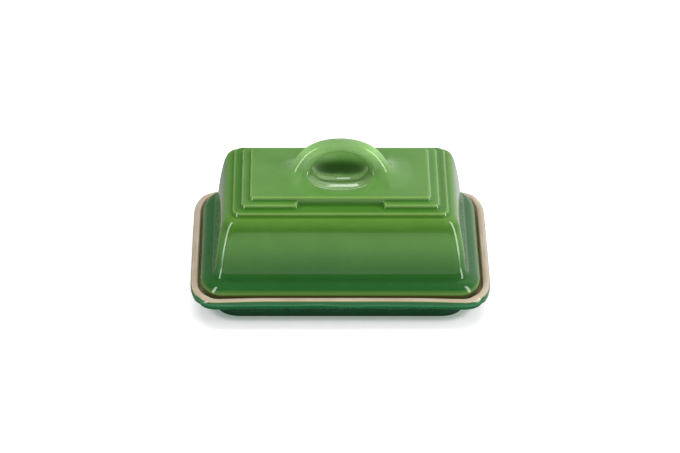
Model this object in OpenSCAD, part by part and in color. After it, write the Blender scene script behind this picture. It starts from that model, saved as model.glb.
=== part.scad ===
// Two-piece glazed stoneware butter dish: a rimmed dish with a foot, and a
// covering lid with a stepped top, a finger scoop and a loop handle.
// Origin: centre of the foot, on the table. +X along the length, -Y to the front, +Z up.

/* [Dish] */
// Length over the rim
dish_length = 171; // [168:0.5:176]
// Width over the rim
dish_width = 127.2; // [124:0.4:130]
// Height of the rim above the table
dish_height = 18.8; // [18.4:0.1:20]
// How far the foot sits inside the rim
foot_inset = 14.2; // [12.8:0.2:15.2]
// Height of the ledge that the lid stands on
ledge_z = 12.6; // [12.2:0.1:12.8]
// Height of the floor of the butter well
well_z = 8; // [7:0.1:9]

/* [Lid] */
// Length over the flange
lid_length = 159.8; // [156:0.2:160.4]
// Height of the lid's shoulder above the table
shoulder_z = 59; // [57:0.2:62]
// Rise of each step of the top
step_rise = 2.5; // [2:0.1:3]
// Width of each tread of the top
tread = 4.9; // [4.4:0.1:5.2]
// Inward lean of the walls, foot to shoulder
wall_lean = 5; // [3:0.1:5.5]
// Length of the notch in the front of the middle step
notch_length = 49; // [30:1:56]
// Depth of the finger scoop below the top panel
scoop_depth = 10.8; // [8:0.2:11]
// Half length of the finger scoop at its lip
scoop_x = 20; // [18:0.2:22]

/* [Handle] */
// Height of the loop above the top panel
loop_height = 21.1; // [18:0.1:26]
// Half span of the loop over its legs
loop_x = 27.4; // [25:0.1:29]
// Half width of the opening between the legs
gap_x = 16.6; // [14:0.1:18]
// Thickness of the loop at its crown
crown_thickness = 6.7; // [5.5:0.1:8]
// Width of the loop, front to back, at its crown
crown_width = 9.6; // [8:0.1:12]

/* [Material] */
// Thickness of the glaze coats
glaze = 0.4; // [0.3:0.05:0.5]
// Gap between the lid and the dish where the lid rests
seat_gap = 0.06; // [0.04:0.01:0.2]
// Squareness of the corners, 2 is an elliptical arc
corner_power = 2.25; // [2:0.05:2.6]

/* [Hidden] */

green_top = [0.36, 0.56, 0.27];
green_low = [0.13, 0.36, 0.18];
sand = [0.76, 0.69, 0.60];
buff = [0.80, 0.74, 0.64];

// ---- Levels: closed outlines stacked into shells ----

corner_segments = 6;
level_points = 4 * (corner_segments + 1) + 4;
length_excess = (dish_length - dish_width) / 2;  // half length minus half width, at every level
notch_ramp = 0.5;         // how far each end of the notch slopes either side of its line
least_radius = 0.4;       // smallest corner radius left after moving a level inward

// A level is [half length, half width, corner radius in x, corner radius in y, height, notch drop]
function level(half_x, z, radius_x, radius_y, drop = 0) =
    [half_x, half_x - length_excess, radius_x, radius_y, z, drop];
function oval(half_x, half_y, z) = [half_x, half_y, half_x * 0.93, half_y * 0.985, z, 0];

// Power that keeps the sign, with rounding noise taken as zero
function signed_pow(value, power) =
    abs(value) < 1e-9 ? 0 : sign(value) * pow(abs(value), power);

// Points of one corner of a level; quadrant 0 is +X +Y, and the rest follow anticlockwise
function corner(lev, quadrant) = let (
    side_x = quadrant == 0 || quadrant == 3 ? 1 : -1,
    side_y = quadrant < 2 ? 1 : -1)
    [for (k = [0:corner_segments]) let (angle = 90 * (quadrant + k / corner_segments)) [
        side_x * (lev[0] - lev[2]) + lev[2] * signed_pow(cos(angle), 2 / corner_power),
        side_y * (lev[1] - lev[3]) + lev[3] * signed_pow(sin(angle), 2 / corner_power),
        lev[4]]];

// Points of one level: four corners, with four more along the front for the notch
function outline(lev) = let (
    straight_x = lev[0] - lev[2],
    outer_x = min(notch_length / 2 + notch_ramp, 0.75 * straight_x),
    inner_x = min(notch_length / 2 - notch_ramp, 0.55 * straight_x),
    y = -lev[1],
    z = lev[4],
    notch_z = z - lev[5])
    concat(
        corner(lev, 0), corner(lev, 1), corner(lev, 2),
        [[-outer_x, y, z], [-inner_x, y, notch_z], [inner_x, y, notch_z], [outer_x, y, z]],
        corner(lev, 3));

// The same levels moved in from the surface by depth, along the profile's own normal
function inward(levels, depth = glaze) = [for (i = [0:len(levels) - 1]) let (
    lev = levels[i],
    before = levels[max(i - 1, 0)],
    after = levels[min(i + 1, len(levels) - 1)],
    tangent = [after[0] - before[0], after[4] - before[4]],
    move_in = -depth * tangent[1] / norm(tangent),
    move_down = depth * tangent[0] / norm(tangent))
    [lev[0] - move_in, lev[1] - move_in,
        max(lev[2] - move_in, least_radius), max(lev[3] - move_in, least_radius),
        lev[4] - move_down, lev[5]]];

function span(levels, first, last) = [for (i = [first:last]) levels[i]];
function turned(levels) = [for (i = [len(levels) - 1:-1:0]) levels[i]];

// Closed solid through a list of levels. With tip heights it starts and ends in a point on
// the centre line, and without them the last level joins the first. Levels in the range
// "back" run the other way round than on the solid they touch, so their four-sided faces
// are split the other way, and the two solids meet face to face.
module shell(levels, first_tip = undef, last_tip = undef, back = [0, 0]) {
    n = level_points;
    count = len(levels);
    closed = is_undef(first_tip);
    last_start = (count - 1) * n;
    tips = closed ? [] : [[0, 0, first_tip], [0, 0, last_tip]];
    points = concat([for (lev = levels) each outline(lev)], tips);
    sides = [for (i = [0:count - (closed ? 1 : 2)], k = [0:n - 1]) let (
        next_start = (i + 1) % count * n,
        here = i * n + k,
        beside = i * n + (k + 1) % n,
        opposite = next_start + (k + 1) % n,
        across = next_start + k)
        each (i >= back[0] && i < back[1]
            ? [[here, beside, across], [beside, opposite, across]]
            : [[here, beside, opposite], [here, opposite, across]])];
    ends = closed ? [] : [for (k = [0:n - 1]) let (next = (k + 1) % n) each [
        [count * n, next, k],
        [count * n + 1, last_start + k, last_start + next]]];
    polyhedron(points = points, faces = concat(sides, ends), convexity = 6);
}

// Coat between a surface and the levels under it
module coat(surface, under, first_tip = undef, last_tip = undef) {
    shell(concat(surface, turned(under)), first_tip, last_tip,
        [len(surface), 2 * len(surface)]);
}

// ---- Dish ----

rim_x = dish_length / 2;
foot_x = rim_x - foot_inset;
foot_hollow_z = 1.8;      // height of the underside inside the foot

// From the well's floor over the ledge to the top of the rim
dish_in = [
    level(rim_x - 21.5, well_z, 10, 13),
    level(rim_x - 19, well_z + 0.6, 11, 14),
    level(rim_x - 17, ledge_z - 0.8, 12, 15),
    level(rim_x - 15, ledge_z, 13, 16),
    level(rim_x - 7.5, ledge_z, 12.2, 17.6),
    level(rim_x - 5.4, ledge_z + 0.5, 12, 19),
    level(rim_x - 4.3, ledge_z + 1.6, 12.2, 20),
    level(rim_x - 3.85, ledge_z + 3, 12.4, 20.5),
    level(rim_x - 3.6, dish_height - 1.3, 12.6, 20.8),
    level(rim_x - 3.1, dish_height - 0.35, 13, 21.4),
    level(rim_x - 1.8, dish_height, 14, 22.8),
    level(rim_x - 0.85, dish_height - 0.3, 14.8, 24),
    level(rim_x - 0.35, dish_height - 0.85, 15.3, 24.6)];
// From the rim's widest level down to the foot
dish_out = [
    level(rim_x, dish_height - 2.2, 15.5, 25),
    level(rim_x - 0.15, dish_height - 3.9, 15.5, 25),
    level(rim_x - 0.8, dish_height - 5.3, 15, 24.4),
    level(rim_x - 2.2, dish_height - 6.6, 14.2, 23.4),
    level(rim_x - 4.2, dish_height - 7.9, 13.8, 22.6),
    level(rim_x - 7.4, dish_height - 9.7, 13.8, 22),
    level(foot_x + 4.4, 7.4, 14.5, 21.4),
    level(foot_x + 2.9, 4.9, 15, 20.8),
    level(foot_x + 1.8, 2.4, 15.2, 20.2),
    level(foot_x + 1, 0.5, 15.4, 19.6)];
// Unglazed foot, from its outer edge to the hollow
foot = [
    level(foot_x, 0, 15, 19),
    level(foot_x - 3.6, 0, 12, 16),
    level(foot_x - 4.6, 0.5, 11, 15),
    level(foot_x - 5.4, foot_hollow_z, 10.5, 14.5)];

dish_surface = concat(dish_in, dish_out);
dish_core = inward(dish_surface);
glaze_meet = len(dish_in) - 1;       // the level where the two glazes meet
dish_last = len(dish_surface) - 1;

module dish_body() {
    color(buff) shell(concat(dish_core, foot), well_z - glaze, foot_hollow_z);
}

module dish_outer_glaze() {
    color(green_low) coat(
        span(dish_surface, glaze_meet, dish_last),
        span(dish_core, glaze_meet, dish_last));
}

module dish_inner_glaze() {
    color(sand) coat(dish_in, span(dish_core, 0, glaze_meet), well_z, well_z - glaze);
}

// ---- Lid ----

flange_x = lid_length / 2;
wall_x = flange_x - 8.4;             // half length at the top of the wall's root fillet
shoulder_x = wall_x - wall_lean - 0.3;
panel_z = shoulder_z + 3 * step_rise;
seat_z = ledge_z + seat_gap;
ceiling_z = shoulder_z - 9;
scoop_z = panel_z - scoop_depth;
scoop_y = scoop_x * 0.92;

// Scoop profile: [share of the lip's size, share of the depth above the scoop's floor]
scoop_profile = [[0.3, 0.03], [0.56, 0.16], [0.76, 0.4], [0.89, 0.68], [0.955, 0.88]];

// One riser of the top, rounded at both edges. The notch can lower its top or its bottom edge.
function riser(half_x, z, radius, notch_top = false, notch_bottom = false) = [
    level(half_x - 0.9, z, radius - 0.9, radius - 0.7, notch_top ? step_rise : 0),
    level(half_x - 0.2, z - 0.35, radius - 0.2, radius, notch_top ? step_rise - 0.35 : 0),
    level(half_x + 0.3, z - step_rise + 0.35, radius + 0.3, radius + 0.5),
    level(half_x + 0.9, z - step_rise, radius + 0.9, radius + 1.1,
        notch_bottom ? step_rise : 0)];

// From the scoop's floor out over the steps and down the wall to the flange
lid_out = concat(
    [for (share = scoop_profile)
        oval(scoop_x * share[0], scoop_y * share[0], scoop_z + scoop_depth * share[1])],
    [oval(scoop_x, scoop_y, panel_z - 0.35),
    oval(scoop_x + 1.7, scoop_y + 1.6, panel_z)],
    riser(shoulder_x - 3 * tread, panel_z, 3, notch_bottom = true),
    riser(shoulder_x - 2 * tread, panel_z - step_rise, 4, notch_top = true),
    riser(shoulder_x - tread, panel_z - 2 * step_rise, 5.4), [
    level(shoulder_x - 3, shoulder_z - 0.1, 5.6, 7),
    level(shoulder_x - 1.4, shoulder_z - 0.6, 6.6, 8.2),
    level(shoulder_x - 0.3, shoulder_z - 1.9, 7.2, 8.9),
    level(shoulder_x + 0.3, shoulder_z - 3.8, 7.4, 9.2),
    level(wall_x, seat_z + 18, 6.8, 9.2),
    level(wall_x + 0.35, seat_z + 15.5, 6.8, 9.2),
    level(wall_x + 1.0, seat_z + 13.7, 7, 9.6),
    level(wall_x + 2.1, seat_z + 12.4, 8, 11.2),
    level(wall_x + 3.6, seat_z + 11.7, 9.4, 13.8),
    level(wall_x + 5.2, seat_z + 10.9, 11, 16.6),
    level(wall_x + 6.7, seat_z + 9.4, 12.3, 19),
    level(wall_x + 7.8, seat_z + 7.2, 13.2, 20.4),
    level(wall_x + 8.3, seat_z + 5.1, 13.7, 21),
    level(flange_x, seat_z + 3.3, 13.8, 21.2),
    level(flange_x - 0.2, seat_z + 1.9, 13.6, 21),
    level(flange_x - 0.9, seat_z + 0.7, 13, 20.2)]);
// Flat unglazed underside of the flange
seat = [
    level(flange_x - 2.1, seat_z, 12, 19),
    level(flange_x - 6, seat_z, 10, 16),
    level(flange_x - 11.6, seat_z, 8, 12)];
// From the seat up the inside of the wall to the ceiling, which dips under the scoop
lid_in = [
    level(wall_x - 4.3, seat_z + 1, 7, 10.5),
    level(wall_x - 4.8, seat_z + 3, 6.6, 10),
    level(shoulder_x - 4.4, shoulder_z - 9, 5.4, 7.6),
    level(shoulder_x - 5.9, shoulder_z - 6.2, 5, 7),
    level(shoulder_x - 8.4, shoulder_z - 5, 4.2, 6),
    level(shoulder_x - 16, shoulder_z - 4.2, 4, 5),
    oval(27, 19.5, shoulder_z - 4.9),
    oval(18, 15, shoulder_z - 6.9),
    oval(9, 8, shoulder_z - 8.6)];

module lid_body() {
    color(buff) shell(concat(inward(lid_out), seat, inward(lid_in)),
        scoop_z - glaze, ceiling_z + glaze);
}

module lid_outer_glaze() {
    color(green_top) coat(lid_out, inward(lid_out), scoop_z, scoop_z - glaze);
}

module lid_inner_glaze() {
    color(sand) shell(concat(turned(inward(lid_in)), lid_in),
        ceiling_z + glaze, ceiling_z, [0, len(lid_in) - 1]);
}

// ---- Handle ----

arch_segments = 28;
section_points = 20;
section_power = 0.88;     // below 1 squares off the oval section
leg_sink = 1.2;           // how far the legs go below the top panel
leg_widening = 1.8;       // added half width down the legs
toe_widening = 1.6;       // added half width at the very ends
toe_flare = 3.6;          // outward flare at the very ends

// Oval section swept over an elliptical arch, its legs thickening to the lid
module lid_handle() {
    n = section_points;
    points = [for (i = [0:arch_segments]) let (
        angle = 180 * i / arch_segments,
        along = cos(angle),
        rise = sin(angle),
        leg = pow(abs(along), 3),
        toe = pow(abs(along), 24),
        base_z = panel_z - leg_sink * (1 - rise),
        outer = [loop_x * along + toe_flare * toe * sign(along), base_z + loop_height * rise],
        inner = [gap_x * along, base_z + (loop_height - crown_thickness) * rise],
        middle = (outer + inner) / 2,
        half_thick = (outer - inner) / 2,
        half_wide = crown_width / 2 + leg_widening * leg + toe_widening * toe)
        each [for (k = [0:n - 1]) let (
            turn = 360 * k / n,
            xz = middle + half_thick * signed_pow(cos(turn), section_power))
            [xz[0], half_wide * signed_pow(sin(turn), section_power), xz[1]]]];
    sides = [for (i = [0:arch_segments - 1], k = [0:n - 1]) let (
        here = i * n + k,
        beside = i * n + (k + 1) % n)
        each [[here, beside + n, beside], [here, here + n, beside + n]]];
    caps = [[for (k = [0:n - 1]) k], [for (k = [n - 1:-1:0]) arch_segments * n + k]];
    color(green_top) polyhedron(points = points, faces = concat(sides, caps), convexity = 4);
}

dish_body();
dish_outer_glaze();
dish_inner_glaze();
lid_body();
lid_handle();
lid_outer_glaze();
lid_inner_glaze();
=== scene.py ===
# A rectangular glazed stoneware dish with a stepped lid. A loop handle bridges a finger scoop in
# the lid's top panel. The long side lies along X, the front faces -Y and the table is z = 0.
# Shapes are worked out in mm, and meshes, lights and camera are in metres.
import math
from itertools import product

import bpy
import numpy as np
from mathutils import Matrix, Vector


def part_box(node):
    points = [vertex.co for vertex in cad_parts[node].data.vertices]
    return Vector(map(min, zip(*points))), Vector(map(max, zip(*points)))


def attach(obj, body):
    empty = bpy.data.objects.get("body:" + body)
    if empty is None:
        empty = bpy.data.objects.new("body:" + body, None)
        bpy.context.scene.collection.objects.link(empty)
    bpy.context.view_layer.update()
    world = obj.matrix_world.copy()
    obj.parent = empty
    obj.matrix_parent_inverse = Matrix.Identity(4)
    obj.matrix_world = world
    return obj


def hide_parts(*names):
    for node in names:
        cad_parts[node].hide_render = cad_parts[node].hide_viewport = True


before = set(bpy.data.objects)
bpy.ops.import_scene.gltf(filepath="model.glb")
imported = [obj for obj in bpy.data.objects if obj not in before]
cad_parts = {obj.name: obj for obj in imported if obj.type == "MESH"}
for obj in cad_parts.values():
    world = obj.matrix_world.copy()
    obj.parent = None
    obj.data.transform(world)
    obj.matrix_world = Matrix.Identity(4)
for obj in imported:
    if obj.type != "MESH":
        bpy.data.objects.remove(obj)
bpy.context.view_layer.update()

MM = 1000.0     # mm in a metre


# ---------------------------------------------------------------- driving sizes, mm
def mm_box(node):
    lo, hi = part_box(node)
    return np.array(lo) * MM, np.array(hi) * MM


RIM, RIM_HALF_WIDTH = mm_box("dish_outer_glaze")[1][:2]     # RIM is the half length
RIM_TOP = mm_box("dish_inner_glaze")[1][2]
FLANGE = mm_box("lid_outer_glaze")[1][0]    # half length of the lid's flange
PANEL = mm_box("lid_outer_glaze")[1][2]     # height of the top panel
SEAT = mm_box("lid_body")[0][2]             # underside of the flange
CROWN = mm_box("lid_handle")[1][2]          # top of the loop
LONGER = RIM - RIM_HALF_WIDTH               # half length minus half width, at every level
SQUARENESS = 2.25                           # exponent of the corner curve

# Corner radii of the lid, by the half length of the level they belong to
RADII_AT = np.array([0, 50.4, 51.3, 56.6, 61.5, 64.6, 66.2, 71.5,
                     72.0, 72.8, 74.1, 75.7, 77.5, 79.0, 79.9, 85.5])
RADII_X = np.array([2.0, 2.1, 3.0, 4.0, 5.4, 6.4, 7.2, 6.8,
                    6.8, 7.2, 8.4, 10.0, 11.6, 12.9, 13.8, 19.0])
RADII_Y = np.array([2.0, 2.3, 3.2, 4.4, 6.0, 7.6, 8.9, 9.2,
                    9.2, 10.0, 12.0, 14.6, 17.6, 20.0, 21.2, 25.0])


# ---------------------------------------------------------------- lookup tables
def lattice(u_span, v_span, step):
    return np.meshgrid(np.arange(*u_span, step), np.arange(*v_span, step), indexing="ij")


class Lookup:
    """Bilinear lookup of a table over a rectangle."""

    def __init__(self, table, u_span, v_span, step):
        self.table = table.astype(np.float32)
        self.u_start, self.v_start, self.step = u_span[0], v_span[0], step

    def __call__(self, u, v):
        table = self.table
        u = np.clip((u - self.u_start) / self.step, 0, table.shape[0] - 1.001)
        v = np.clip((v - self.v_start) / self.step, 0, table.shape[1] - 1.001)
        i, j = u.astype(np.int32), v.astype(np.int32)
        part_u, part_v = (u - i).astype(np.float32), (v - j).astype(np.float32)
        return ((table[i, j] * (1 - part_u) + table[i + 1, j] * part_u) * (1 - part_v)
                + (table[i, j + 1] * (1 - part_u) + table[i + 1, j + 1] * part_u) * part_v)


def find_level(x, y):
    """Half length of the level whose outline passes through (x, y), by bisection."""
    low = np.full(x.shape, LONGER + 0.6)
    high = np.full(x.shape, 130.0)
    for _ in range(34):
        length = (low + high) / 2
        width = length - LONGER
        radius_x = np.minimum(np.interp(length, RADII_AT, RADII_X), length * 0.95)
        radius_y = np.minimum(np.interp(length, RADII_AT, RADII_Y), width * 0.95)
        u = np.maximum(x - (length - radius_x), 0) / radius_x
        v = np.maximum(y - (width - radius_y), 0) / radius_y
        inside = (u ** SQUARENESS + v ** SQUARENESS) <= 1
        high = np.where(inside, length, high)
        low = np.where(inside, low, length)
    return (low + high) / 2


LEVEL_AREA = (0, 100), (0, 80), 0.25    # x span, y span and step
LEVEL = Lookup(find_level(*lattice(*LEVEL_AREA)), *LEVEL_AREA)


def level_at(x, y):
    return LEVEL(np.abs(x), np.abs(y))


def to_segment(points, start, end):
    """Squared distance from points to a segment, and how far along it the nearest place is."""
    run = end - start
    offset = points - start
    along = np.clip((offset @ run) / (run @ run), 0, 1)
    return ((offset - along[:, None] * run) ** 2).sum(1), along


# ---------------------------------------------------------------- the lid's section
STEP_RISE = 2.5
SHOULDER = PANEL - 3 * STEP_RISE
STEP_1, STEP_2, STEP_3 = (FLANGE - inset for inset in (28.55, 23.65, 18.75))
NOTCH = 24.6                # half length of the stretch in front that lacks the upper tread
PAST_CENTRE = -12           # the section runs on past the centre, so that it closes outside
PANEL_UNDER = SHOULDER - 4.2


def fillet(points, steps=9):
    """Polyline through (x, y, before, after), each corner rounded from and to those distances."""
    points = np.array(points, float)
    places, before, after = points[:, :2], points[:, 2], points[:, 3]
    lengths = np.linalg.norm(np.diff(places, axis=0), axis=1)
    for i, length in enumerate(lengths):
        if after[i] + before[i + 1] > length:
            shrink = length / (after[i] + before[i + 1])
            after[i] *= shrink
            before[i + 1] *= shrink
    weight = 1.15       # of the conic's middle: near a circle when both sides are equal
    out = [places[0]]
    for i in range(1, len(places) - 1):
        corner = places[i]
        start = corner + (places[i - 1] - corner) / lengths[i - 1] * before[i]
        end = corner + (places[i + 1] - corner) / lengths[i] * after[i]
        for k in range(steps + 1):
            t = k / steps
            w0, w1, w2 = (1 - t) ** 2, 2 * weight * t * (1 - t), t * t
            out.append((w0 * start + w1 * corner + w2 * end) / (w0 + w1 + w2))
    out.append(places[-1])
    return np.array(out)


def polygon_distance(polygon, u, v):
    """Signed distance to a closed polygon, negative inside."""
    points = np.stack([u.ravel(), v.ravel()], 1)
    starts, ends = polygon, np.roll(polygon, -1, 0)
    keep = np.linalg.norm(ends - starts, axis=1) > 1e-9
    nearest = np.full(len(points), 1e18)
    inside = np.zeros(len(points), bool)
    for start, end in zip(starts[keep], ends[keep]):
        nearest = np.minimum(nearest, to_segment(points, start, end)[0])
        run = end - start
        crosses = (start[1] > points[:, 1]) != (end[1] > points[:, 1])
        if abs(run[1]) > 1e-12:
            inside ^= crosses & (points[:, 0] < start[0] + (points[:, 1] - start[1]) * run[0] / run[1])
    return (np.sqrt(nearest) * np.where(inside, -1, 1)).reshape(u.shape)


def lid_section(notched):
    """From the panel out, down and back inside: level, height, rounding before and after."""
    upper = SHOULDER + 2 * STEP_RISE
    lower = SHOULDER + STEP_RISE
    top = [(PAST_CENTRE, PANEL, 0, 0), (STEP_1 - 0.1, PANEL, 1.35, 1.25)]
    if notched:
        top += [(STEP_1 + 0.55, lower, 1.1, 1.2)]
    else:
        top += [(STEP_1 + 0.25, upper, 1.2, 1.2), (STEP_2 - 0.1, upper, 1.35, 1.25),
                (STEP_2 + 0.25, lower, 1.2, 1.2)]
    return top + [
        (STEP_3 - 0.1, lower, 1.35, 1.25), (STEP_3 + 0.25, SHOULDER + 0.1, 1.15, 1.1),
        # side wall
        (FLANGE - 13.95, SHOULDER, 3.6, 8.5), (FLANGE - 10.2, SEAT + 29.5, 8, 8),
        (FLANGE - 8.15, SEAT + 12.5, 6.0, 3.2),
        # flange
        (FLANGE - 3.0, SEAT + 11.2, 3.2, 3.2), (FLANGE - 0.4, SEAT + 8.0, 2.8, 1.4),
        (FLANGE, SEAT + 6.2, 1.1, 1.0), (FLANGE - 0.9, SEAT + 3.0, 1.6, 1.2),
        (FLANGE - 1.5, SEAT + 0.4, 1.0, 0.8), (FLANGE - 2.8, SEAT, 0.7, 0.7),
        (FLANGE - 11.7, SEAT, 0.8, 0.8), (FLANGE - 12.9, SEAT + 1.6, 0.9, 1.2),
        # inside
        (FLANGE - 13.5, SEAT + 4, 1.2, 3.0),
        (FLANGE - 18.9, PANEL_UNDER, 5.0, 5.0), (PAST_CENTRE, PANEL_UNDER, 0, 0)]


SECTION_AREA = (-4, 90), (5, 96), 0.25      # level span, height span and step
SECTION, SECTION_NOTCHED = (
    Lookup(polygon_distance(fillet(lid_section(notched)), *lattice(*SECTION_AREA)), *SECTION_AREA)
    for notched in (False, True))


# ---------------------------------------------------------------- loop handle
LOOP_RISE = CROWN - PANEL
LOOP_OUTER, LOOP_INNER = 27.4, 16.7     # half lengths of the arch and of its opening
LOOP_TOP_THICK = 6.7
LOOP_SINK = 0.4                         # the opening starts this far below the panel
LOOP_END = 61.0                         # the legs die away below this height


def loop_stations():
    """Centre line of the loop: x, z, half thickness and half width at each station."""
    angle = np.linspace(0, math.pi, 241)
    outer_x, outer_z = LOOP_OUTER * np.cos(angle), PANEL + LOOP_RISE * np.sin(angle)
    inner_x = LOOP_INNER * np.cos(angle)
    inner_z = PANEL - LOOP_SINK + (LOOP_RISE - LOOP_TOP_THICK + LOOP_SINK) * np.sin(angle)
    arch = np.column_stack([
        (outer_x + inner_x) / 2, (outer_z + inner_z) / 2,
        np.hypot(outer_x - inner_x, outer_z - inner_z) / 2,
        4.75 + 1.4 * np.abs(np.cos(angle)) ** 3])
    # legs run down into the panel, growing as they go
    down = np.linspace(0.4, 7, 18)[:, None]
    right_leg = arch[0] + down[::-1] * np.array([0.05, -1, 0.12, 0.25])
    left_leg = arch[-1] + down * np.array([-0.05, -1, 0.12, 0.25])
    return np.concatenate([right_leg, arch, left_leg])


def loop_tables(area):
    """Distance to the centre line, half thickness and half width over the loop's plane."""
    x, z = lattice(*area)
    points = np.stack([x.ravel(), z.ravel()], 1)
    best = [np.full(len(points), 1e9), np.zeros(len(points)), np.zeros(len(points))]
    stations = loop_stations()
    for start, end in zip(stations[:-1], stations[1:]):
        squared, along = to_segment(points, start[:2], end[:2])
        found = [np.sqrt(squared)] + [start[c] + (end[c] - start[c]) * along for c in (2, 3)]
        nearer = found[0] < best[0]
        best = [np.where(nearer, new, old) for new, old in zip(found, best)]
    return (Lookup(values.reshape(x.shape), *area) for values in best)


LOOP_AREA = (-46, 46.1), (48, 98), 0.4      # x span, height span and step
LOOP_DISTANCE, LOOP_HALF_THICK, LOOP_HALF_WIDE = loop_tables(LOOP_AREA)


def loop_field(x, y, z):
    thick, wide = LOOP_HALF_THICK(x, z), LOOP_HALF_WIDE(x, z)
    radius = ((np.abs(LOOP_DISTANCE(x, z)) / thick) ** SQUARENESS
              + (np.abs(y) / wide) ** SQUARENESS) ** (1 / SQUARENESS)
    loop = (radius - 1) * np.minimum(thick, wide)
    return np.minimum(loop, 30.0) + 3.0 * np.maximum(LOOP_END - z, 0.0)


# ---------------------------------------------------------------- finger scoop
# Depth of the scoop's floor below the panel, from front to back
SCOOP_Y = np.array([-24, -19.5, -16, -13, -10.5, -8.5, -6, -3.5, -1,
                    0.5, 2.5, 4.5, 6, 8, 12, 16, 22])
SCOOP_DEPTH = np.array([1.0, 1.2, 2.1, 2.55, 2.75, 2.89, 3.4, 4.3, 5.1,
                        5.34, 5.5, 5.64, 5.9, 6.8, 8.2, 8.4, 8.4])
smooth_y = np.arange(-24, 22.01, 0.1)
smooth_depth = np.interp(smooth_y, SCOOP_Y, SCOOP_DEPTH)
for _ in range(3):      # moving average over 21 samples
    smooth_depth = np.convolve(np.pad(smooth_depth, 10, mode="edge"), np.ones(21) / 21, mode="valid")


def smooth_min(a, b, reach):
    near = np.maximum(reach - np.abs(a - b), 0) / reach
    return np.minimum(a, b) - near * near * near * reach / 6


def smooth_max(a, b, reach):
    return -smooth_min(-a, -b, reach)


def scoop_radius(x, y):
    """Distance from the scoop's centre, 1 on its oval outline."""
    return np.sqrt((x / 20.4) ** 2 + ((y + 1.0) / 18.4) ** 2)


def scoop_floor(x, y):
    """Height of the scoop: a small lip in front and a floor that falls to the back."""
    radius = np.minimum(scoop_radius(x, y), 1.6)
    floor = np.interp(y, smooth_y, smooth_depth) * (1 - 0.3 * np.minimum((x / 15) ** 2, 1.3))
    side = 11.0 * (1 - radius * radius)
    return PANEL - smooth_min(floor, side, 2.6)


def scoop_field(x, y, z):
    """Near signed distance to the hollow: its height over the floor, eased by the slope."""
    reach = 0.4
    slope_x = (scoop_floor(x + reach, y) - scoop_floor(x - reach, y)) / 0.8
    slope_y = (scoop_floor(x, y + reach) - scoop_floor(x, y - reach)) / 0.8
    slope = np.minimum(slope_x * slope_x + slope_y * slope_y, 6.0)
    return (scoop_floor(x, y) - z) / np.sqrt(1 + slope)


# ---------------------------------------------------------------- the whole lid as a field
def ellipsoid(x, y, z, rx, ry, rz):
    scaled = np.sqrt((x / rx) ** 2 + (y / ry) ** 2 + (z / rz) ** 2)
    slope = np.sqrt((x / rx ** 2) ** 2 + (y / ry ** 2) ** 2 + (z / rz ** 2) ** 2)
    return scaled * (scaled - 1) / np.maximum(slope, 1e-6)


def shell_field(x, y, z):
    """The stepped lid, with the upper tread cut away in the middle of the front."""
    level = level_at(x, y)
    shell = SECTION(level, z)
    notch = np.clip((NOTCH + 0.45 - np.abs(x)) / 0.9, 0, 1)
    notch = notch * notch * (3 - 2 * notch) * (y < 0)
    near = (notch > 0) & (z > SHOULDER - 3) & (z < PANEL + 3)
    return np.where(near, shell * (1 - notch) + SECTION_NOTCHED(level, z) * notch, shell)


def lid_field(x, y, z):
    """Signed distance, near enough, to the lid. Negative in the stoneware."""
    shell = shell_field(x, y, z)
    # a bowl hangs under the panel, so that the scoop doesn't break through
    bowl = ellipsoid(x, y - 2, z - (PANEL + 2.0), 26.0, 24.0, 17.4)
    bowl = smooth_max(bowl, z - (SHOULDER + 3.5), 1.0)
    body = smooth_min(shell, bowl, 5.0)
    # the scoop's edge grows softer towards the back
    soft = np.clip((y + 6) / 18, 0, 1)
    body = smooth_max(body, -scoop_field(x, y, z), 1.5 + 6.5 * soft * soft * (3 - 2 * soft))
    # the loop flows into the panel, most widely at its outer feet
    flow = 11.5 + 5.5 * np.clip((np.abs(x) - 21) / 7, 0, 1)
    return np.where(z > 40, smooth_min(body, loop_field(x, y, z), flow), shell)


# ---------------------------------------------------------------- surface nets
FINE = 1.0       # multiplies every grid step
CORNERS = list(product((0, 1), repeat=3))


def spacing(bands):
    """Grid lines from bands (start, end, step) laid end to end."""
    lines = [bands[0][0]]
    for start, end, step in bands:
        count = max(1, int(round((end - start) / (step * FINE))))
        lines += list(start + (end - start) * np.arange(1, count + 1) / count)
    return np.array(lines)


def mirrored(bands):
    half = spacing(bands)
    return np.concatenate([-half[:0:-1], half])


def to_surface(points, field, limit, times):
    """Moves points onto field = 0, each step no longer than the limit."""
    probe = 0.05
    for _ in range(times):
        value = field(*points.T)
        slope = np.stack([field(*(points + shift).T) - field(*(points - shift).T)
                          for shift in probe * np.eye(3)], 1) / (2 * probe)
        steep = np.maximum((slope ** 2).sum(1), 0.05)
        step = -(value / steep)[:, None] * slope
        length = np.linalg.norm(step, axis=1)
        step *= np.minimum(1, limit / np.maximum(length, 1e-9))[:, None]
        points = points + step
    return points


def cell_points(values, inside, cells, grids):
    """Mean of the places where the edges of each cell cross the surface."""
    total = np.zeros((len(cells[0]), 3))
    count = np.zeros(len(cells[0]))
    for axis in range(3):
        for low in CORNERS:
            if low[axis]:
                continue
            high = list(low)
            high[axis] = 1
            at_low = tuple(cell + shift for cell, shift in zip(cells, low))
            at_high = tuple(cell + shift for cell, shift in zip(cells, high))
            value_low, value_high = values[at_low], values[at_high]
            crosses = inside[at_low] != inside[at_high]
            part = np.where(crosses, value_low / np.where(crosses, value_low - value_high, 1), 0)
            start = np.stack([grid[i] for grid, i in zip(grids, at_low)], 1)
            end = np.stack([grid[i] for grid, i in zip(grids, at_high)], 1)
            total += np.where(crosses[:, None], start + (end - start) * part[:, None], 0)
            count += crosses
    return total / count[:, None]


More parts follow.
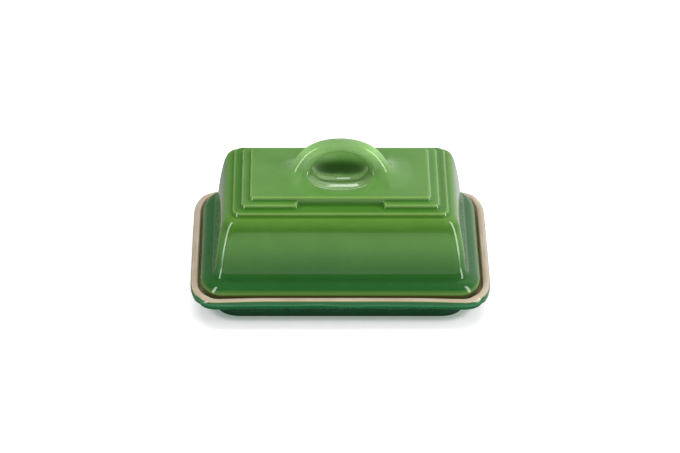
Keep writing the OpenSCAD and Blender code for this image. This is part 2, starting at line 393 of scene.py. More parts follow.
def cell_quads(inside, index):
    """One quad round every grid edge that crosses the surface."""
    quads = []
    for axis in range(3):
        solid = np.moveaxis(inside, axis, 0)
        cell = np.moveaxis(index, axis, 0)
        i, j, k = np.nonzero((solid[:-1] != solid[1:])[:, 1:-1, 1:-1])
        j += 1
        k += 1
        quad = np.stack([cell[i, j - 1, k - 1], cell[i, j, k - 1],
                         cell[i, j, k], cell[i, j - 1, k]], 1)
        flip = solid[i + 1, j, k] ^ (axis == 1)
        quad[flip] = quad[flip][:, ::-1]
        quads.append(quad)
    return np.concatenate(quads)


def surface_nets(field, grids, smooth=2):
    """Quad mesh of field = 0 over a rectilinear grid, its points moved onto the true surface."""
    x, y, z = np.meshgrid(*grids, indexing="ij")
    values = field(x.ravel(), y.ravel(), z.ravel()).reshape(x.shape).astype(np.float32)
    inside = values < 0
    nx, ny, nz = (size - 1 for size in values.shape)
    count = np.zeros((nx, ny, nz), np.uint8)
    for dx, dy, dz in CORNERS:
        count += inside[dx:nx + dx, dy:ny + dy, dz:nz + dz]
    cells = np.nonzero((count > 0) & (count < 8))
    index = np.full(count.shape, -1, np.int64)
    index[cells] = np.arange(len(cells[0]))
    verts = cell_points(values, inside, cells, grids)
    quads = cell_quads(inside, index)

    verts = to_surface(verts, field, limit=0.5, times=3)
    edges = np.concatenate([quads[:, [0, 1]], quads[:, [1, 2]], quads[:, [2, 3]], quads[:, [3, 0]]])
    edges = np.unique(np.sort(edges, 1), axis=0)
    start, end = edges.T
    degree = np.bincount(edges.ravel(), minlength=len(verts)).astype(float)
    for _ in range(smooth):
        mean = np.zeros_like(verts)
        for c in range(3):
            mean[:, c] = (np.bincount(start, verts[end, c], len(verts))
                          + np.bincount(end, verts[start, c], len(verts)))
        mean /= degree[:, None]
        verts = to_surface(verts + 0.5 * (mean - verts), field, limit=0.4, times=2)
    return verts, quads


# ---------------------------------------------------------------- mesh helpers
GREEN_SLOT, SAND_SLOT, BARE_SLOT = 0, 1, 2


def make_mesh(name, verts, faces):
    """Smooth mesh from points in mm and rows of four corners, the last -1 in a triangle."""
    mesh = bpy.data.meshes.new(name)
    mesh.vertices.add(len(verts))
    mesh.vertices.foreach_set("co", (verts / MM).astype(np.float32).ravel())
    loops = faces[faces >= 0]
    sides = (faces >= 0).sum(1)
    mesh.loops.add(len(loops))
    mesh.loops.foreach_set("vertex_index", loops.astype(np.int32))
    mesh.polygons.add(len(faces))
    mesh.polygons.foreach_set("loop_start", (np.cumsum(sides) - sides).astype(np.int32))
    mesh.polygons.foreach_set("use_smooth", np.ones(len(faces), bool))
    mesh.update(calc_edges=True)
    mesh.validate()
    obj = bpy.data.objects.new(name, mesh)
    bpy.context.scene.collection.objects.link(obj)
    return obj


def paint(obj, name, values):
    layer = obj.data.attributes.new(name, "FLOAT", "POINT")
    layer.data.foreach_set("value", np.asarray(values, np.float32))


def set_slots(obj, slots):
    obj.data.polygons.foreach_set("material_index", slots.astype(np.int32))


def ease(value, start, end):
    t = np.clip((value - start) / (end - start), 0, 1)
    return t * t * (3 - 2 * t)


# ---------------------------------------------------------------- lid
# Grid bands in mm: start, end, step
LID_X = [(0, 30, 0.62), (30, 49, 0.8), (49, 68, 0.46), (68, 83.5, 0.7)]
LID_Y = [(0, 12, 0.62), (12, 26, 0.62), (26, 45, 0.46), (45, 60.5, 0.7)]
LID_Z = [(9.0, 26, 0.6), (26, 54, 0.95), (54, 67.4, 0.4), (67.4, 90, 0.62)]


def bend(points, reach):
    """Curvature of the lid per mm: positive on edges, negative in corners."""
    total = -6 * lid_field(*points.T)
    for shift in reach * np.eye(3):
        for sign in (1, -1):
            total = total + lid_field(*(points + sign * shift).T)
    return total / (reach * reach)


def paint_lid(lid, verts):
    """Attributes that steer the glaze: breaks, pools, the scoop, and painted shade in the scoop's back
    and in the gap under the flange.
    """
    x, y, z = verts.T
    level = level_at(x, y)
    # in the scoop the glaze runs even, with a light line along the front lip, partly glaze breaking
    # over it and partly a painted highlight
    radius = scoop_radius(x, y)
    in_scoop = (ease(radius, 1.14, 1.04) * ease(y, 15.0, 8.0)
                * ease(z, PANEL - 12, PANEL - 10) * ease(z, PANEL + 1.5, PANEL + 0.5))
    lip = np.exp(-((radius - 0.985) / 0.028) ** 2) * ease(y, 3.0, -5.0) * in_scoop
    paint(lid, "edge", bend(verts, 0.9) * (1 - in_scoop) + 0.95 * lip)
    paint(lid, "pool", bend(verts, 2.2) * (1 - in_scoop))
    paint(lid, "scoop", in_scoop * ease(radius, 1.0, 0.9))
    # painted shade in the deep back of the scoop, under the handle's crown
    well = ease(y + 0.25 * np.abs(x), 5.5, 14.0) * ease(PANEL - z, -1.5, 4.5)
    well = well * (scoop_field(x, y, z) < 3.5) * (z > 50) * (np.abs(x) < 19)
    paint(lid, "well", well)
    # on the flange's outer face, a band of thin glaze over a painted dark brown band: shade in the gap
    # to the dish and the sand rim's reflection in it
    thin = (ease(level, FLANGE - 3.4, FLANGE - 1.2) * ease(z, SEAT + 9.4, SEAT + 6.8)
            * ease(z, SEAT + 5.4, SEAT + 6.2))
    gap_shade = (ease(level, FLANGE - 5, FLANGE - 3.5) * ease(z, SEAT + 6.2, SEAT + 5.3)
           * ease(z, SEAT + 3.0, SEAT + 4.6))
    paint(lid, "thin", thin)
    paint(lid, "gap_shade", gap_shade)


def slot_lid(lid, verts):
    """Sand inside, bare clay under the flange, green elsewhere."""
    x, y, z = verts.T
    level = level_at(x, y)
    # level halfway through the wall, by height
    middle = np.interp(z, [SEAT, SEAT + 5, 30, SHOULDER - 4, SHOULDER, PANEL],
                       [FLANGE - 7, FLANGE - 7, FLANGE - 11.2, FLANGE - 16.6, FLANGE - 60, FLANGE - 90])
    inner = (level < middle) & (z < SHOULDER - 1.2)
    inner &= ~((scoop_field(x, y, z) - 3.0 < 0) & (z > 50))
    bare = (z < SEAT + 0.75) & (level > FLANGE - 12.6) & (level < FLANGE - 0.9)
    corners = np.zeros(len(lid.data.polygons) * 4, np.int32)
    lid.data.loops.foreach_get("vertex_index", corners)
    corners = corners.reshape(-1, 4)
    set_slots(lid, np.where(bare[corners].sum(1) >= 3, BARE_SLOT,
                            np.where(inner[corners].sum(1) >= 2, SAND_SLOT, GREEN_SLOT)))


def build_lid():
    verts, quads = surface_nets(lid_field, (mirrored(LID_X), mirrored(LID_Y), spacing(LID_Z)))
    lid = make_mesh("lid_glazed", verts, quads)
    paint_lid(lid, verts)
    slot_lid(lid, verts)
    paint(lid, "along", np.full(len(verts), 30.0))
    return lid


# ---------------------------------------------------------------- dish
LEDGE = SEAT - 0.06                                 # the lid rests just above it
WELL = mm_box("dish_inner_glaze")[0][2] + 0.4       # floor of the inside
FOOT = 71.3                                         # half length of the foot

# Section of the dish from the inner floor over the rim and down to the underside:
# half length, height, corner radius along x, corner radius along y
SAND_ROWS = [
    (RIM - 23.5, WELL, 9, 12), (RIM - 20.5, WELL, 10.4, 13.4),
    (RIM - 18.4, WELL + 0.5, 11.4, 14.4), (RIM - 16.6, LEDGE - 0.9, 12.4, 15.4),
    (RIM - 14.6, LEDGE, 12.6, 16), (RIM - 12, LEDGE, 12.4, 16.6),
    (RIM - 9.0, LEDGE, 12.2, 17.2), (RIM - 6.6, LEDGE, 12.0, 18.2),
    (RIM - 5.2, LEDGE + 0.7, 12.0, 19.2), (RIM - 4.6, LEDGE + 2.0, 12.1, 19.8),
    (RIM - 4.4, RIM_TOP - 2.0, 12.2, 20.0), (RIM - 4.1, RIM_TOP - 0.5, 12.4, 20.3),
    (RIM - 2.8, RIM_TOP + 0.02, 13.4, 21.8), (RIM - 1.3, RIM_TOP - 0.05, 14.6, 23.4),
    (RIM - 0.5, RIM_TOP - 0.6, 15.2, 24.4)]
GREEN_ROWS = [
    (RIM - 0.12, RIM_TOP - 1.25, 15.5, 24.9), (RIM, RIM_TOP - 2.4, 15.5, 25),
    (RIM - 0.05, RIM_TOP - 3.9, 15.5, 25), (RIM - 0.6, RIM_TOP - 5.4, 15.1, 24.5),
    (RIM - 1.9, RIM_TOP - 6.6, 14.3, 23.5), (RIM - 4.0, RIM_TOP - 7.9, 13.8, 22.6),
    (RIM - 7.2, RIM_TOP - 9.7, 13.8, 22), (FOOT + 4.3, 7.3, 14.5, 21.4),
    (FOOT + 2.8, 4.9, 15, 20.8), (FOOT + 1.7, 2.4, 15.2, 20.2), (FOOT + 0.8, 0.46, 15.2, 19.6)]
BARE_ROWS = [
    (FOOT + 0.1, 0.05, 15, 19), (FOOT - 0.9, 0.0, 14.2, 18.2), (FOOT - 3.4, 0.0, 12.2, 16.2),
    (FOOT - 4.3, 0.15, 11.4, 15.4), (FOOT - 5.0, 0.8, 10.8, 14.8),
    (FOOT - 5.8, 1.7, 10.4, 14.4), (FOOT - 8, 1.8, 9.8, 13.6)]
SAND_END = (RIM - 0.36, RIM_TOP - 0.75)     # where sand meets green: half length, height
GREEN_END = (FOOT + 0.45, 0.28)             # where green meets bare clay

CORNER_STEPS = 26
SIDE_STEPS = (44, 34)       # along the long and the short sides
RING_SIZE = 4 * CORNER_STEPS + 2 * sum(SIDE_STEPS)
CORNER_SIGNS = ((1, 1), (-1, 1), (-1, -1), (1, -1))
CAP_SCALES = (0.82, 0.62, 0.42, 0.22, 0.07)


def chaikin(rows, times):
    for _ in range(times):
        out = [rows[0]]
        for here, there in zip(rows[:-1], rows[1:]):
            out += [here * 0.75 + there * 0.25, here * 0.25 + there * 0.75]
        out.append(rows[-1])
        rows = out
    return np.array(rows)


def corner_point(quarter, turn, row):
    """Place on a level's outline, a part turn through one of its corners."""
    length, z, radius_x, radius_y = row
    angle = math.radians(90 * (quarter + turn))
    u, v = (math.copysign(abs(c) ** (2 / SQUARENESS), c) if abs(c) > 1e-9 else 0.0
            for c in (math.cos(angle), math.sin(angle)))
    sign_x, sign_y = CORNER_SIGNS[quarter]
    return np.array([sign_x * (length - radius_x) + radius_x * u,
                     sign_y * (length - LONGER - radius_y) + radius_y * v, z])


def ring(row):
    points = []
    for quarter in range(4):
        points += [corner_point(quarter, k / CORNER_STEPS, row) for k in range(CORNER_STEPS)]
        start = corner_point(quarter, 1.0, row)
        end = corner_point((quarter + 1) % 4, 0.0, row)
        steps = SIDE_STEPS[quarter % 2]
        points += [start + (end - start) * (k / steps) for k in range(steps)]
    return np.array(points)


def sag(points):
    """The fired rim is not quite flat: it drops a little towards its corners, more at the front."""
    x, y, z = points.T
    outer = np.clip(np.maximum(np.abs(x) - (RIM - 6), np.abs(y) - (RIM_HALF_WIDTH - 6)) / 2.5, 0, 1)
    corner = np.clip((np.abs(x) - 40) / 40, 0, 1)
    corner = corner * corner * (3 - 2 * corner)
    front = 0.35 + 0.65 * np.clip(-y / RIM_HALF_WIDTH, 0, 1) ** 2
    wave = 0.12 * np.sin(x * 0.071 + 0.6) + 0.1 * np.sin(y * 0.093 + x * 0.031 + 2.0)
    drop = -1.0 * corner * front * np.clip((np.abs(y) - 10) / 40, 0, 1)
    moved = points.copy()
    moved[:, 2] += (drop + wave * 0.2) * outer * np.clip((z - 9) / 5, 0, 1)
    return moved


def band(first, second, up):
    """Quads between two rings of point numbers."""
    corners = [first, np.roll(first, -1), np.roll(second, -1), second]
    return np.stack(corners if up else [corners[i] for i in (0, 3, 2, 1)], 1)


def cap(verts, faces, first, edge_z, middle_z, up):
    """Closes a ring with ever smaller copies of it and a fan round the centre."""
    base = verts[first:first + RING_SIZE]
    outer = np.arange(first, first + RING_SIZE)
    for scale in CAP_SCALES:
        shrunk = base.copy()
        shrunk[:, :2] *= scale
        shrunk[:, 2] = edge_z + (middle_z - edge_z) * (1 - scale)
        inner = np.arange(len(verts), len(verts) + RING_SIZE)
        verts = np.concatenate([verts, shrunk])
        faces = np.concatenate([faces, band(outer, inner, up)])
        outer = inner
    tip = np.full(RING_SIZE, len(verts))
    verts = np.concatenate([verts, [[0, 0, middle_z]]])
    pair = [outer, np.roll(outer, -1)]
    fan = np.stack((pair if up else pair[::-1]) + [tip, np.full(RING_SIZE, -1)], 1)
    return verts, np.concatenate([faces, fan])


def build_dish():
    """One section carried round the outline, closed over the floor and the underside."""
    rows = chaikin(list(np.array(SAND_ROWS + GREEN_ROWS + BARE_ROWS, float)), 3)
    section = rows[:, :2]
    sand_end, green_end = (int(np.argmin(np.hypot(section[:, 0] - length, section[:, 1] - z)))
                           for length, z in (SAND_END, GREEN_END))
    last = len(rows) - 1
    wall = len(rows) * RING_SIZE        # count of the points outside the caps
    verts = sag(np.concatenate([ring(row) for row in rows]))
    rings = np.arange(wall).reshape(-1, RING_SIZE)
    faces = np.concatenate([band(rings[i], rings[i + 1], False) for i in range(last)])
    verts, faces = cap(verts, faces, 0, WELL, WELL, True)
    under = rows[-1][1]
    verts, faces = cap(verts, faces, last * RING_SIZE, under, under + 0.05, False)
    cap_size = (len(CAP_SCALES) + 1) * RING_SIZE
    face_row = np.concatenate([np.repeat(np.arange(last), RING_SIZE),
                               np.full(cap_size, 0), np.full(cap_size, last + 1)])
    order = np.argsort(faces[:, 3] < 0, kind="stable")      # triangles last
    face_row = face_row[order]
    dish = make_mesh("dish_glazed", verts, faces[order])
    set_slots(dish, np.where(face_row < sand_end, SAND_SLOT,
                             np.where(face_row < green_end, GREEN_SLOT, BARE_SLOT)))

    tangent = np.gradient(section, axis=0)
    angle = np.unwrap(np.arctan2(tangent[:, 1], tangent[:, 0]))
    arc = np.concatenate([[0], np.cumsum(np.linalg.norm(np.diff(section, axis=0), axis=1))])
    edge = np.zeros(len(verts))
    edge[:wall] = np.repeat(-np.gradient(angle, arc), RING_SIZE)
    paint(dish, "edge", edge)
    paint(dish, "pool", edge * 0.5)
    # distance along the section from the meeting of sand and green
    along = np.zeros(len(verts))
    along[:wall] = np.repeat(arc - arc[sand_end], RING_SIZE)
    along[wall:] = np.where(verts[wall:, 2] > 4, -50, 50)
    paint(dish, "along", along)
    # zero on the dish: the painted shade in the scoop and under the flange belongs to the lid
    for name in ("well", "thin", "gap_shade", "scoop"):
        paint(dish, name, np.zeros(len(verts)))
    return dish


# ---------------------------------------------------------------- shader helpers
def srgb(*channels):
    """Linear colour from sRGB channels of 0 to 255."""
    parts = [c / 255 for c in channels]
    return (*(c / 12.92 if c <= 0.04045 else ((c + 0.055) / 1.055) ** 2.4 for c in parts), 1.0)


class Graph:
    """Short ways to add nodes to a node tree. Each returns the new node's output socket."""

    def __init__(self, tree):
        self.tree = tree
        tree.nodes.clear()

    def new(self, kind, **settings):
        node = self.tree.nodes.new(kind)
        for key, setting in settings.items():
            setattr(node, key, setting)
        return node

    def put(self, socket, value):
        if isinstance(value, bpy.types.NodeSocket):
            self.tree.links.new(value, socket)
        else:
            socket.default_value = value

    def math(self, operation, a, b=0.0):
        node = self.new("ShaderNodeMath", operation=operation)
        self.put(node.inputs[0], a)
        self.put(node.inputs[1], b)
        return node.outputs[0]

    def add(self, a, b):
        return self.math("ADD", a, b)

    def times(self, a, b):
        return self.math("MULTIPLY", a, b)

    def minus(self, a, b):
        return self.math("SUBTRACT", a, b)

    def jitter(self, value, noise, amount):
        return self.add(value, self.times(self.minus(noise, 0.5), amount))

    def span(self, value, over, to=(0.0, 1.0), kind="SMOOTHSTEP"):
        """Maps the value from one range to another, clamped."""
        node = self.new("ShaderNodeMapRange", interpolation_type=kind, clamp=True)
        self.put(node.inputs["Value"], value)
        for key, number in zip(("From Min", "From Max", "To Min", "To Max"), (*over, *to)):
            node.inputs[key].default_value = number
        return node.outputs["Result"]

    def mix(self, a, b, factor=1.0, blend="MIX"):
        node = self.new("ShaderNodeMix", data_type="RGBA", blend_type=blend, clamp_factor=True)
        self.put(node.inputs[0], factor)
        self.put(node.inputs[6], a)
        self.put(node.inputs[7], b)
        return node.outputs[2]

    def ramp(self, value, stops):
        node = self.new("ShaderNodeValToRGB")
        points = node.color_ramp.elements
        points[0].position, points[0].color = stops[0]
        points[1].position, points[1].color = stops[-1]
        for position, colour in stops[1:-1]:
            points.new(position).color = colour
        self.put(node.inputs["Fac"], value)
        return node.outputs["Color"]


class Material(Graph):
    def __init__(self, name):
        self.material = bpy.data.materials.new(name)
        self.material.use_nodes = True
        super().__init__(self.material.node_tree)
        out = self.new("ShaderNodeOutputMaterial")
        self.bsdf = self.new("ShaderNodeBsdfPrincipled")
        self.put(out.inputs[0], self.bsdf.outputs[0])

    def use_object_space(self):
        self.place = self.new("ShaderNodeTexCoord").outputs["Object"]

    def set(self, **inputs):
        """Sets shader inputs, with _ in place of each space."""
        for key, value in inputs.items():
            self.put(self.bsdf.inputs[key.replace("_", " ")], value)

    def attr(self, name):
        return self.new("ShaderNodeAttribute", attribute_name=name).outputs["Fac"]

    def noise(self, scale, detail, rough, warp=0.0):
        node = self.new("ShaderNodeTexNoise")
        node.inputs["Scale"].default_value = scale
        node.inputs["Detail"].default_value = detail
        node.inputs["Roughness"].default_value = rough
        node.inputs["Distortion"].default_value = warp
        self.put(node.inputs["Vector"], self.place)
        return node.outputs["Fac"]

    def bump(self, height, strength, distance, normal=None):
        node = self.new("ShaderNodeBump")
        node.inputs["Strength"].default_value = strength
        node.inputs["Distance"].default_value = distance
        self.put(node.inputs["Height"], height)
        if normal is not None:
            self.put(node.inputs["Normal"], normal)
        return node.outputs["Normal"]


# ---------------------------------------------------------------- materials
# Glaze colour by height: mm and sRGB. On the lid it is thin and yellow on top, cool below.
LID_GREENS = [
    (12, (30, 84, 34)), (20, (36, 84, 36)), (23, (34, 84, 35)), (25.3, (36, 85, 34)),
    (28, (40, 89, 34)), (32, (40, 94, 20)), (37.5, (54, 102, 34)), (43.5, (66, 115, 43)),
    (49, (72, 117, 45)), (54, (62, 106, 36)), (57, (76, 119, 45)), (60, (68, 112, 38)),
    (61.8, (64, 109, 40)), (64, (80, 124, 56)), (66.5, (84, 126, 59)), (74, (114, 156, 90)),
    (81.5, (132, 176, 103)), (85.5, (117, 158, 93)), (88, (103, 139, 85))]
# On the dish, the lighter band from 14.7 to 16.4 mm on the bead's underside is partly glaze colour and
# partly a painted reflection of the table.
DISH_GREENS = [
    (0, (16, 58, 32)), (6, (16, 66, 35)), (11.5, (14, 74, 38)), (13.6, (12, 76, 40)),
    (14.7, (22, 84, 46)), (15.5, (46, 106, 68)), (16.4, (24, 88, 48)), (17.5, (12, 80, 40)),
    (18.2, (18, 82, 40)), (18.8, (58, 104, 56))]
LOW_TO_HIGH = (0.012, 0.05)     # heights in metres between which glaze accents change colour


def green_glaze(name, colours):
    mat = Material(name)
    mat.use_object_space()
    split = mat.new("ShaderNodeSeparateXYZ")
    mat.put(split.inputs[0], mat.place)
    height = mat.jitter(split.outputs["Z"], mat.noise(scale=22, detail=3, rough=0.5, warp=0.4),
                        amount=0.0035)
    top = colours[-1][0]
    share = mat.span(height, over=(0.0, top / MM), kind="LINEAR")
    base = mat.ramp(share, [(level / top, srgb(*colour)) for level, colour in colours])
    blotch = mat.noise(scale=60, detail=4, rough=0.55, warp=0.6)
    shades = mat.ramp(blotch, [(0.3, (0.93, 0.95, 0.9, 1)), (0.7, (1.07, 1.05, 1.1, 1))])
    base = mat.mix(base, shades, blend="MULTIPLY")
    # light where the glaze breaks over edges, dark where it pools in corners
    edge = mat.jitter(mat.attr("edge"), mat.noise(scale=420, detail=3, rough=0.6), amount=0.12)
    light = mat.span(edge, over=(0.10, 1.0), to=(0.0, 0.32))
    pale = mat.mix(srgb(84, 130, 64), srgb(150, 182, 92), mat.span(height, over=LOW_TO_HIGH))
    base = mat.mix(base, pale, light)
    deep = mat.span(mat.times(mat.attr("edge"), -1.0), over=(0.08, 1.0), to=(0.0, 0.55))
    dark = mat.mix(srgb(8, 58, 26), srgb(44, 96, 16), mat.span(height, over=LOW_TO_HIGH))
    base = mat.mix(base, dark, deep)
    pool = mat.span(mat.times(mat.attr("pool"), -1.0), over=(0.03, 0.3), to=(0.0, 0.3))
    base = mat.mix(base, dark, pool)
    # the scoop, the painted shade in its deep back, then the flange's thin band and the painted gap
    # shade under it
    base = mat.mix(base, srgb(112, 150, 84), mat.times(mat.attr("scoop"), 0.85))
    well = mat.span(mat.attr("well"), over=(0.05, 0.95), to=(0.0, 0.80))
    # painted shade in the scoop's deep back
    base = mat.mix(base, srgb(18, 50, 6), well)
    base = mat.mix(base, srgb(104, 140, 62), mat.times(mat.attr("thin"), 0.6))
    # painted shade and sand reflection in the gap under the flange
    base = mat.mix(base, srgb(96, 72, 42), mat.times(mat.attr("gap_shade"), 0.7))
    specks = mat.noise(scale=1500, detail=2, rough=0.5)
    base = mat.mix(base, srgb(30, 70, 24), mat.span(specks, over=(0.70, 0.78), to=(0.0, 0.12)))
    rough = mat.span(mat.noise(scale=90, detail=3, rough=0.6), over=(0.3, 0.7), to=(0.05, 0.085))
    rough = mat.add(rough, mat.span(mat.attr("edge"), over=(0.35, 0.9), to=(0.0, 0.22)))
    waves = mat.bump(mat.noise(scale=26, detail=2, rough=0.45), strength=0.16, distance=0.0009)
    normal = mat.bump(mat.noise(scale=700, detail=2, rough=0.5),
                      strength=0.012, distance=0.00006, normal=waves)
    mat.set(Base_Color=base, Roughness=rough, IOR=1.5, Normal=normal)
    return mat.material


def sand_glaze():
    mat = Material("sand_glaze")
    mat.use_object_space()
    tone = mat.noise(scale=48, detail=4, rough=0.55, warp=0.5)
    base = mat.ramp(tone, [(0.25, srgb(163, 146, 125)), (0.5, srgb(172, 156, 136)),
                           (0.75, srgb(179, 165, 147))])
    # greener beside the green glaze; on the rim's inner wall and ledge an olive-yellow tint, painted
    # shade and green reflection from the recess under the lid
    along = mat.attr("along")
    ragged = mat.jitter(along, mat.noise(scale=160, detail=3, rough=0.6), amount=0.5)
    near = mat.span(ragged, over=(-0.55, -0.05))
    base = mat.mix(base, srgb(150, 138, 96), mat.times(near, 0.6))
    recess_shade = mat.times(mat.span(along, over=(-4.2, -5.6)), mat.span(along, over=(-13.0, -9.0)))
    base = mat.mix(base, srgb(172, 160, 104), mat.times(recess_shade, 0.75))
    specks = mat.noise(scale=1300, detail=2, rough=0.5)
    base = mat.mix(base, srgb(138, 104, 72), mat.span(specks, over=(0.68, 0.76), to=(0.0, 0.4)))
    rough = mat.span(tone, over=(0.3, 0.7), to=(0.10, 0.15))
    waves = mat.bump(mat.noise(scale=60, detail=2, rough=0.5), strength=0.12, distance=0.0006)
    normal = mat.bump(mat.noise(scale=900, detail=3, rough=0.6),
                      strength=0.04, distance=0.00008, normal=waves)
    mat.set(Base_Color=base, Roughness=rough, IOR=1.5, Coat_Weight=0.3, Coat_Roughness=0.06,
            Normal=normal)
    return mat.material


def bare_stoneware():
    mat = Material("bare_stoneware")
    mat.use_object_space()
    tone = mat.noise(scale=70, detail=5, rough=0.6)
    base = mat.ramp(tone, [(0.25, srgb(190, 168, 136)), (0.55, srgb(206, 186, 156)),
                           (0.8, srgb(216, 199, 172))])
    grit = mat.noise(scale=1900, detail=3, rough=0.65)
    base = mat.mix(base, srgb(128, 96, 66), mat.span(grit, over=(0.62, 0.74), to=(0.0, 0.55)))
    base = mat.mix(base, srgb(232, 222, 204), mat.span(grit, over=(0.38, 0.28), to=(0.0, 0.4)))
    rough = mat.span(tone, over=(0.3, 0.7), to=(0.7, 0.88))
    normal = mat.bump(mat.noise(scale=1400, detail=4, rough=0.7), strength=0.4, distance=0.0001)
    mat.set(Base_Color=base, Roughness=rough, Normal=normal)
    return mat.material


def white_floor():
    """White, with a painted green-tinted shadow close to the dish."""
    mat = Material("floor_white")
    # painted contact shadow: near the dish the occlusion darkens and greens both the colour and the
    # glow
    occlusion = mat.new("ShaderNodeAmbientOcclusion", samples=12)
    occlusion.inputs["Distance"].default_value = 0.0065
    clear = mat.span(occlusion.outputs["AO"], over=(0.35, 0.95))
    mat.set(Base_Color=mat.mix((0.46, 0.53, 0.48, 1), (0.8, 0.8, 0.8, 1), clear),
            Emission_Color=mat.mix((0.46, 0.55, 0.49, 1), (1, 1, 1, 1), clear),
            Emission_Strength=0.35, Roughness=0.75, Specular_IOR_Level=0.15)
    return mat.material


# ---------------------------------------------------------------- the pieces
lid = build_lid()
dish = build_dish()
sand, bare = sand_glaze(), bare_stoneware()
for piece, name, colours in ((lid, "green_glaze_lid", LID_GREENS),
                             (dish, "green_glaze_dish", DISH_GREENS)):
    for material in (green_glaze(name, colours), sand, bare):
        piece.data.materials.append(material)

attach(lid, "lid")
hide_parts("lid_body", "lid_handle", "lid_outer_glaze", "lid_inner_glaze")
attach(dish, "dish")
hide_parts("dish_body", "dish_outer_glaze", "dish_inner_glaze")


# ---------------------------------------------------------------- floor and lights, metres
def build_floor(radius=0.62, sides=96):
    material = white_floor()
    mesh = bpy.data.meshes.new("floor")
    angles = [2 * math.pi * k / sides for k in range(sides)]
    verts = [(0, 0, 0)] + [(radius * math.cos(a), radius * math.sin(a), 0) for a in angles]
    mesh.from_pydata(verts, [], [(0, k + 1, (k + 1) % sides + 1) for k in range(sides)])
    mesh.update()
    floor = bpy.data.objects.new("floor", mesh)
    bpy.context.scene.collection.objects.link(floor)
    mesh.materials.append(material)
    floor.visible_glossy = False


def area_light(name, location, width, height, watts, target=(0, 0, 0.04)):
    light = bpy.data.lights.new(name, "AREA")
    light.shape = "RECTANGLE"
    light.size, light.size_y = width, height
    light.energy = watts
    light.spread = math.pi
    lamp = bpy.data.objects.new(name, light)
    bpy.context.scene.collection.objects.link(lamp)
    lamp.location = location
    lamp.rotation_mode = "QUATERNION"
    lamp.rotation_quaternion = (Vector(target) - Vector(location)).to_track_quat("-Z", "Y")
    lamp.visible_camera = False
    return lamp


# Lights the glaze doesn't mirror: name, location, width, height, watts
SOFT_LIGHTS = [
    ("top_soft", (0, 0.25, 1.5), 1.5, 0.9, 17),
    ("left_soft", (-1.2, -0.7, 0.7), 0.5, 0.9, 3.5),
    ("right_soft", (1.2, -0.6, 0.7), 0.5, 0.9, 9.5),
    ("right_edge", (1.3, 0.25, 0.45), 0.5, 0.9, 3)]

build_floor()
for row in SOFT_LIGHTS:
    area_light(*row).visible_glossy = False
# the small low card behind the dish that the dip under the handle mirrors
area_light("back_card", location=(-0.002, 0.30, 0.184), width=0.022, height=0.036, watts=0.0095,
           target=(0, 0, 0.08))


# ---------------------------------------------------------------- world
STRIP_AZIMUTHS = ((-68, -52), (62, 80))     # degrees from the front, positive to the right
STRIP_ELEVATION = (-13, 52)
STRIP_STRENGTH = 9.0


def mirrored_room(sky):
    """What the glaze mirrors: a white table all round, a dim room, tall strips left and right."""
    both = sky.times

    def invert(value):
        return sky.minus(1.0, value)

    def window(value, low, high, soft):
        return both(sky.span(value, over=(low - soft, low + soft)),
                    invert(sky.span(value, over=(high - soft, high + soft))))

    coords = sky.new("ShaderNodeTexCoord")
    split = sky.new("ShaderNodeSeparateXYZ")
    sky.put(split.inputs[0], coords.outputs["Generated"])
    x, y, z = split.outputs
    azimuth = sky.times(sky.math("ARCTAN2", x, sky.times(y, -1.0)), 180 / math.pi)
    elevation = sky.times(sky.math("ARCSINE", z), 180 / math.pi)
    below = sky.span(elevation, over=(1.5, -1.5))
    back = sky.span(y, over=(-0.2, 0.6))
    right = sky.span(x, over=(-0.3, 0.3))
    # the table dims straight down, at the back on the left, and far out to the sides
    table = sky.span(elevation, over=(-22, -52), to=(0.86, 0.08))
    table = both(table, invert(both(back, sky.minus(0.64, sky.times(right, 0.6)))))
    table = both(table, sky.span(sky.math("ABSOLUTE", x), over=(0.55, 0.85), to=(1.0, 0.7)))
    # the room is brighter at the back, more so low down and on the right
    room = sky.add(0.06, sky.times(back, 0.05))
    room = sky.add(room, both(sky.times(back, 0.12), sky.span(elevation, over=(40, 24))))
    room = sky.add(room, both(sky.times(back, 0.5), sky.span(x, over=(0.008, 0.065))))
    light = sky.add(both(below, table), both(invert(below), room))
    # a low haze straight behind
    haze = both(invert(sky.span(sky.math("ABSOLUTE", x), over=(0.08, 0.25))),
                both(back, window(elevation, low=-1, high=18, soft=2)))
    light = sky.add(light, sky.times(haze, 0.22))
    for low, high in STRIP_AZIMUTHS:
        strip = both(window(azimuth, low, high, soft=2.5),
                     window(elevation, *STRIP_ELEVATION, soft=5))
        light = sky.add(light, sky.times(strip, STRIP_STRENGTH))
    return light


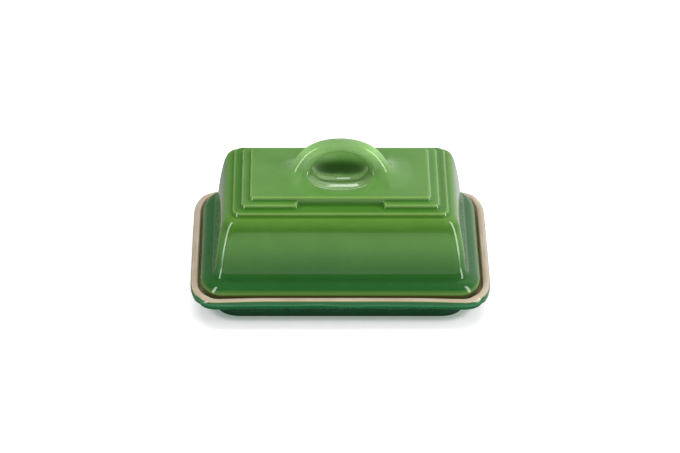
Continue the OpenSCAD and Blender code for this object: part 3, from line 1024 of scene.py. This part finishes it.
def build_world():
    """One light for what is mirrored, one for diffuse fill and one for what the camera sees."""
    world = bpy.data.worlds.new("studio")
    bpy.context.scene.world = world
    world.use_nodes = True
    sky = Graph(world.node_tree)

    def background(strength, colour=(1, 1, 1, 1)):
        node = sky.new("ShaderNodeBackground")
        node.inputs["Color"].default_value = colour
        sky.put(node.inputs["Strength"], strength)
        return node.outputs[0]

    def choose(factor, first, second):
        node = sky.new("ShaderNodeMixShader")
        for socket, value in zip(node.inputs, (factor, first, second)):
            sky.put(socket, value)
        return node.outputs[0]

    out = sky.new("ShaderNodeOutputWorld")
    light = mirrored_room(sky)
    ray = sky.new("ShaderNodeLightPath").outputs
    mirror = background(light)
    fill = background(strength=0.72, colour=(0.98, 0.99, 1.0, 1))
    seen = background(strength=1.05)
    unseen = choose(ray["Is Glossy Ray"], fill, mirror)
    sky.put(out.inputs["Surface"], choose(ray["Is Camera Ray"], unseen, seen))


build_world()

# ---------------------------------------------------------------- camera
# Long lens above the table, a little left of the dish with the view shifted across
CAMERA_ELEVATION = 30.0     # degrees
CAMERA_DISTANCE, CAMERA_RISE, CAMERA_LEFT = 2.124, 0.0264, 0.023


def build_camera():
    camera = bpy.data.cameras.new("camera")
    camera.sensor_fit = "HORIZONTAL"
    camera.sensor_width = 36.0
    camera.lens = 193.182353
    camera.shift_x = 0.0588235294
    camera.clip_start, camera.clip_end = 0.05, 50
    holder = bpy.data.objects.new("camera", camera)
    bpy.context.scene.collection.objects.link(holder)
    angle = math.radians(CAMERA_ELEVATION)
    view = Vector((0, math.cos(angle), -math.sin(angle)))
    up = Vector((0, math.sin(angle), math.cos(angle)))
    holder.location = -view * CAMERA_DISTANCE + up * CAMERA_RISE + Vector((-CAMERA_LEFT, 0, 0))
    holder.rotation_euler = (math.radians(90 - CAMERA_ELEVATION), 0, 0)
    bpy.context.scene.camera = holder


build_camera()

view_settings = bpy.context.scene.view_settings
view_settings.view_transform = "Standard"
view_settings.look = "None"
view_settings.exposure = 0.0
view_settings.gamma = 1.0
